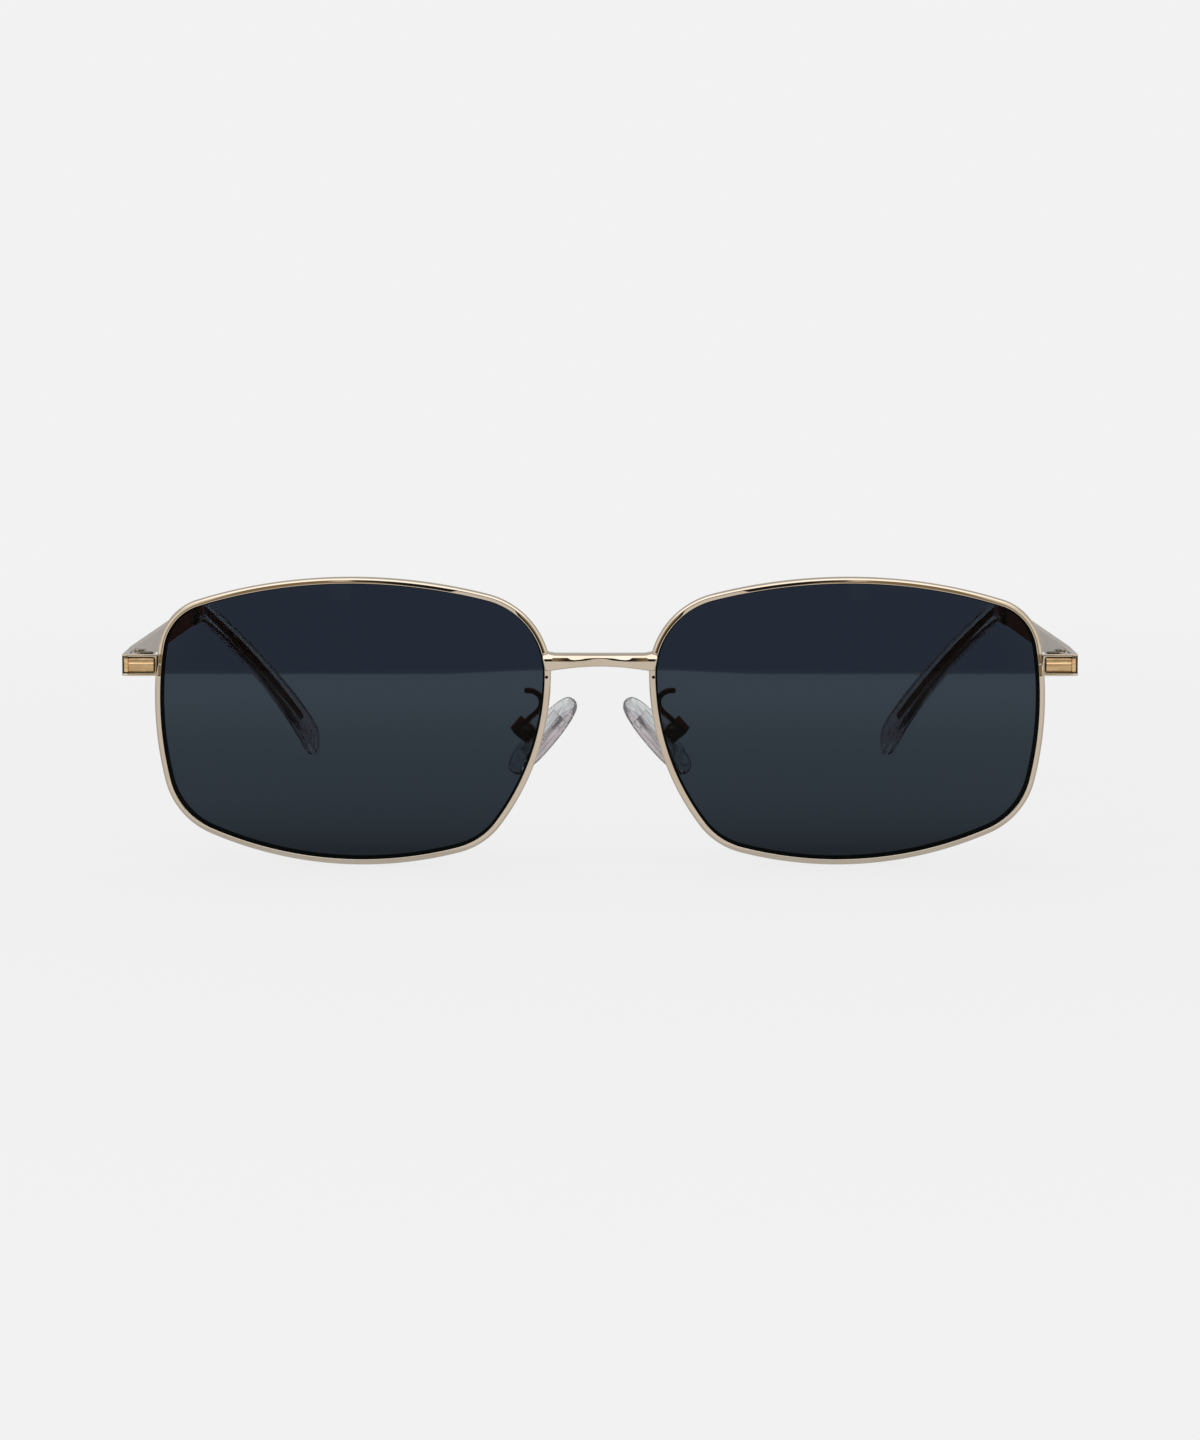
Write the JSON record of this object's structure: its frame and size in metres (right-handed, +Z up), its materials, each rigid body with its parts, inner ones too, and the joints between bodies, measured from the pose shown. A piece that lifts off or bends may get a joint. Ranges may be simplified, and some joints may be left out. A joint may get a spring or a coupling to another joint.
{
  "type": "sunglasses",
  "caption": "Metal-rimmed sunglasses with dark curved lenses, a bar bridge, screw-closed rims, folding flat temples with clear tips, and rocking nose pads.",
  "frame": {"origin": "on the surface that the open glasses stand on, below the middle of their width and of their depth", "axes": "+X to the wearer's left, +Y to the back, towards the tips, +Z up"},
  "size_m": [0.1456, 0.144, 0.0445],
  "materials": {
    "champagne_gold": "polished pale champagne gold plating over nickel silver",
    "deep_gold": "polished deeper gold plating with fine horizontal brushing",
    "screw_steel": "turned steel screws",
    "core_steel": "drawn wire",
    "smoke_lens": "dark grey polarised plastic, polished",
    "clear_tip": "clear moulded plastic, slightly smoky",
    "pad_insert": "clear hard plastic",
    "silicone": "clear soft silicone, satin"
  },
  "bodies": {
    "front": {"bridge": "champagne_gold", "left_rim": "champagne_gold", "right_rim": "champagne_gold", "left_lens": "smoke_lens", "right_lens": "smoke_lens", "left_end_piece": "champagne_gold", "right_end_piece": "champagne_gold", "left_end_plate": "deep_gold", "right_end_plate": "deep_gold", "left_upper_closing_block": "champagne_gold", "right_upper_closing_block": "champagne_gold", "left_lower_closing_block": "champagne_gold", "right_lower_closing_block": "champagne_gold", "left_closing_screw": "screw_steel", "right_closing_screw": "screw_steel", "left_front_hinge": "champagne_gold", "right_front_hinge": "champagne_gold", "left_hinge_screw": "screw_steel", "right_hinge_screw": "screw_steel", "left_pad_arm": "champagne_gold", "right_pad_arm": "champagne_gold", "left_pad_box": "champagne_gold", "right_pad_box": "champagne_gold", "left_pad_screw": "screw_steel", "right_pad_screw": "screw_steel"},
    "left_temple": {"left_temple": "champagne_gold", "left_temple_hinge": "champagne_gold", "left_core_wire": "core_steel", "left_tip": "clear_tip"},
    "left_pad": {"left_nose_pad": "silicone", "left_pad_insert": "pad_insert"},
    "right_temple": {"right_temple": "champagne_gold", "right_temple_hinge": "champagne_gold", "right_core_wire": "core_steel", "right_tip": "clear_tip"},
    "right_pad": {"right_nose_pad": "silicone", "right_pad_insert": "pad_insert"}
  },
  "joints": [
    {"name": "left_temple_fold", "type": "hinge", "parent": "front", "child": "left_temple", "pos_m": [0.07063, -0.05828, 0.03054], "axis": [0, 0, 1], "range_deg": [0, 82]},
    {"name": "right_temple_fold", "type": "hinge", "parent": "front", "child": "right_temple", "pos_m": [-0.07063, -0.05828, 0.03054], "axis": [0, 0, -1], "range_deg": [0, 74]},
    {"name": "left_pad_rock", "type": "hinge", "parent": "front", "child": "left_pad", "pos_m": [0.01173, -0.06313, 0.02061], "axis": [0.2581, 0.9397, 0.2244], "range_deg": [-8, 8]},
    {"name": "right_pad_rock", "type": "hinge", "parent": "front", "child": "right_pad", "pos_m": [-0.01173, -0.06313, 0.02061], "axis": [0.2581, -0.9397, -0.2244], "range_deg": [-8, 8]}
  ]
}
